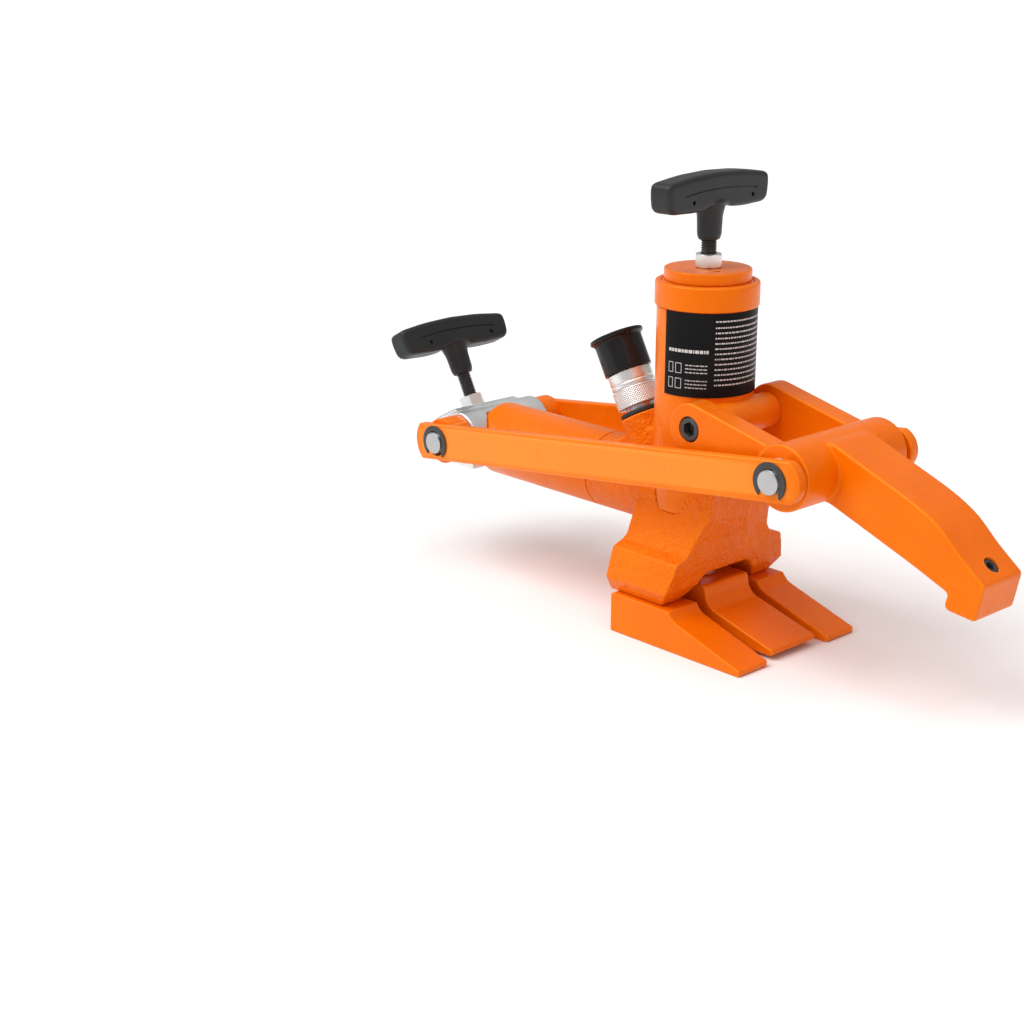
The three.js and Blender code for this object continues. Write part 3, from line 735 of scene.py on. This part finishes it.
def clamp_arm():
    """Two cheeks, the boss that the links pull, and the hook, cast as one."""
    tx, tz = TRUNNION["x"], TRUNNION["z"]
    px, pz = ARM_PIN
    leaves = math.radians(CHEEK["top_leaves_at"])
    outline = [
        (tx + CHEEK["radius"] * math.cos(leaves), tz + CHEEK["radius"] * math.sin(leaves)),
        (px, CHEEK["front_top"]), (px - CHEEK["back"], pz - BOSS["radius"] + 1),
        (tx - CHEEK["back"], tz - CHEEK["under"]),
    ]
    hook = rounded(HOOK_OUTLINE, 1.0, 12)
    half = BOSS["half_length"]
    parts = [slab("hook", hook, -HOOK_HALF_WIDTH, HOOK_HALF_WIDTH, UPRIGHT, 1.4),
             drum(BOSS["radius"], -half, half, across(px, pz), 1.2, 128)]
    for low, high in ((-CHEEK["outer"], -CHEEK["inner"]), (CHEEK["inner"], CHEEK["outer"])):
        parts.append(slab("cheek", outline, low, high, UPRIGHT, 1.0))
        parts.append(drum(CHEEK["radius"], low, high, across(tx, tz), 1.0))
    arm = cast(joined("clamp_arm_casting", parts), *CAST["clamp_arm"])

    carve(arm, [drum(PIN_BORE, -THROUGH, THROUGH, across(px, pz), 0.1, 64)])
    outside, floor = CHEEK["outer"] + 3, CHEEK["outer"] - SOCKET_SEAT["depth"]
    for low, high in ((-outside, -floor), (floor, outside)):
        carve(arm, [drum(SOCKET_SEAT["radius"], low, high, across(tx, tz), 0.1, 64)])
    seat = placed(GRUB_SEAT["x"], GRUB_SEAT["z"], -GRUB_SEAT["tilt"])
    carve(arm, [drum(GRUB_SEAT["radius"], GRUB_SEAT["bottom"], GRUB_SEAT["top"], seat, 0.1, 48)])
    show(arm, "clamp_arm")
    for node in ("pivot_screw_front", "pivot_screw_rear", "hook_grub_screw"):
        bevelled(node, node + "_head", 0.35)


def threaded(name, low, high, place):
    """A stud with a helical thread and coned ends."""
    bm = bmesh.new()
    per_pitch = 8
    count = int((high - low) / STUD["pitch"] * per_pitch)
    rows = []
    for j in range(count + 1):
        z = low + (high - low) * j / count
        cone = STUD["radius"] - 1 + min(z - low, high - z)

        def thread(angle, z=z, cone=cone):
            turn = (z / STUD["pitch"] - angle / (2 * math.pi)) % 1.0
            crest = min(1.0, max(0.0, 1.25 - abs(turn - 0.5) * 3.2))
            return min(STUD["radius"] - STUD["depth"] * (1 - crest), cone)

        rows.append(ring_of(bm, thread, z, 40))
    skin(bm, rows)
    return new_piece(name, bm, place, 50)


def jam_nut(name, node, place):
    """A hexagon with coned corners."""
    corner = NUT["flats"] / math.sqrt(3)

    def hexagon(r, z, angle):
        if r < NUT["hole"] + 0.5:
            return r
        flat = NUT["flats"] / 2 / math.cos((angle % (math.pi / 3)) - math.pi / 6)
        return min(flat, r)

    low, high = GAP, GAP + NUT["height"]
    cone = [(corner - NUT["cone_across"] * (1 - k / 5), k * NUT["cone_step"]) for k in range(6)]
    profile = [(NUT["hole"], low)] + [(r, low + h) for r, h in cone]
    profile += [(r, high - h) for r, h in reversed(cone)] + [(NUT["hole"], high)]
    show(lathe(name, profile, place, 144, hexagon, 25), node)


def grip(name, node, stem, place):
    """A bar that arches a little on a tapered stem.

    Each side has a seam line and two small holes.
    """
    thick = GRIP["half_thickness"]
    outline = GRIP_HALF + [(-y, *rest) for y, *rest in reversed(GRIP_HALF[1:-1])]
    standing = Matrix(((0, 0, 1, 0), (1, 0, 0, 0), (0, 1, 0, 0), (0, 0, 0, 1)))
    at = place @ Matrix.Translation((0, 0, stem * MM))
    bar = slab(name, rounded(outline, 2, 6), -thick, thick, at @ standing, GRIP["rim"])
    oval = at @ Matrix.Diagonal((GRIP["flattened"], 1, 1, 1))
    post = lathe("post", rounded(GRIP_POST, 1, 4, closed=False), oval, 64)
    cast(carve(bar, [post], "UNION"), *CAST["grip"])

    seam = [
        (y, SEAM["height"] - SEAM["drop"] * (y / SEAM["reach"]) ** 2)
        for y in range(SEAM["from"], SEAM["to"], SEAM["step"])
    ]
    strip = [(y, z + SEAM["half_width"]) for y, z in seam]
    strip += [(y, z - SEAM["half_width"]) for y, z in reversed(seam)]
    cutters = []
    for face in (-thick, thick):
        depth = SEAM["depth"]
        cutters.append(slab("seam", strip, face - depth, face + depth, at @ standing))
        depth = GRIP_HOLE["depth"]
        for y in GRIP_HOLE["places"]:
            spot = at @ standing @ Matrix.Translation((y * MM, GRIP_HOLE["height"] * MM, 0))
            cutters.append(drum(GRIP_HOLE["radius"], face - depth, face + depth, spot, 0.1, 24))
    # the cut walls take the darker groove finish as painted shade in the seam and holes
    for cutter in cutters:
        cutter.data.materials.append(FINISHES["groove"])
    show(bar, node)
    for cutter in cutters:
        carve(bar, [cutter], sharp=45)


def handles():
    top = placed(0, CAP["top"])
    side = placed(*SIDE_SEAT, SIDE_TILT)
    for key, place, stem, turn in (("top", top, TOP_STEM, TOP_TURN), ("side", side, SIDE_STEM, 0)):
        turned = place @ Matrix.Rotation(math.radians(turn), 4, "Z")
        nut_seat = place @ Matrix.Rotation(math.radians(turn + NUT_TURN), 4, "Z")
        stud = threaded(key + "_thread", -STUD["reach"], stem + STUD["reach"], place)
        show(stud, key + "_stud")
        jam_nut(key + "_jam_nut", key + "_nut", nut_seat)
        grip(key + "_t_grip", key + "_grip", stem, turned)


def coupler():
    place = placed(*COUPLER_SEAT, COUPLER_TILT)

    def knurl(r, z, angle):
        if r < KNURL["radius"] - 0.4 or not KNURL["from"] < z < KNURL["to"]:
            return r
        along, lean = angle * KNURL["count"], z * KNURL["lean"]
        return r - KNURL["depth"] * (1 - abs(math.sin(along + lean) * math.sin(along - lean)))

    first, step = KNURL["first_row"], KNURL["row_step"]
    rows = [(KNURL["radius"], first + step * k) for k in range(KNURL["rows"])]
    sleeve = [(12.4, 6.8), (17.5, 6.8), *rows, (17.6, 21.9), (12.4, 21.9)]
    show(lathe("coupler_knurled_sleeve", sleeve, place, 288, knurl, 60), "coupler_sleeve")
    lock_ring = [
        (12.4, 22.2), (17.0, 22.2), (17.6, 23.0), (17.6, 25.4), (17.1, 25.8), (17.1, 26.6),
        (17.6, 27), (17.6, 34.6), (17.0, 35.4), (12.4, 35.4),
    ]
    show(lathe("coupler_collar", rounded(lock_ring, 0.3), place), "coupler_lock_ring")
    cap = [
        (0, 61.5), (15.4, 61.5), (15.4, 35.7), (19.2, 35.7, 0.5), (19.3, 61.6, 2.2),
        (21.9, 63.2, 1.0), (21.9, 66.2, 1.2), (0, 66.2),
    ]
    show(lathe("coupler_dust_cap", rounded(cap, 0.3, 5, closed=False), place), "dust_cap")
    seal = [(10.4, 0.1), (17.9, 0.1, 0.9), (17.9, 3.4, 0.9), (10.4, 3.4)]
    show(lathe("coupler_seal_ring", rounded(seal, 0.2), place, 96), "coupler_seal")
    nipple = [
        (4, -15), (9, -15), (10, -14), (10, 3.8), (12, 3.8), (12, 52), (10.5, 54), (7.8, 54),
        (7.8, 30), (4, 26),
    ]
    show(lathe("coupler_body", rounded(nipple, 0.3), place, 96), "coupler_nipple")


def carried_nodes():
    """The CAD nodes that show as they are: springs, seals, bolts and what lies inside."""
    for name, node in frame["nodes"].items():
        if node.hide_render:
            continue
        node.data.materials.clear()
        node.data.materials.append(FINISHES[SLOT_OF.get(name, PAINTED)])


def studio():
    floor_mesh = bpy.data.meshes.new("floor")
    bm = bmesh.new()
    bmesh.ops.create_grid(bm, x_segments=1, y_segments=1, size=FLOOR["half_size"])
    bm.to_mesh(floor_mesh)
    bm.free()
    floor = bpy.data.objects.new("floor", floor_mesh)
    floor.location = (0, 0, FLOOR["z"])
    scene.collection.objects.link(floor)
    white = finish("floor_white", (0.90, 0.90, 0.90), (0.885, 0.885, 0.885), (0.7, 0.8),
                   [(40, 0.02, EVEN)], specular=0.1)
    floor_mesh.materials.append(white)
    world = bpy.data.worlds.new("studio")
    world.use_nodes = True
    background = world.node_tree.nodes["Background"]
    background.inputs["Color"].default_value = (1, 1, 1, 1)
    background.inputs["Strength"].default_value = WORLD_STRENGTH
    scene.world = world
    for name, (strength, softness, tilt, turn, colour) in LIGHTS.items():
        data = bpy.data.lights.new(name, "SUN")
        data.color = colour
        data.energy = strength
        data.angle = math.radians(softness)
        lamp = bpy.data.objects.new(name, data)
        lamp.rotation_euler = (math.radians(tilt), 0, math.radians(turn))
        scene.collection.objects.link(lamp)
    scene.view_settings.view_transform = "Standard"


add_camera()
foot()
push_ram()
return_coil()
label()
clamp_ram()
cross_pins()
links()
clamp_arm()
handles()
coupler()
carried_nodes()
studio()
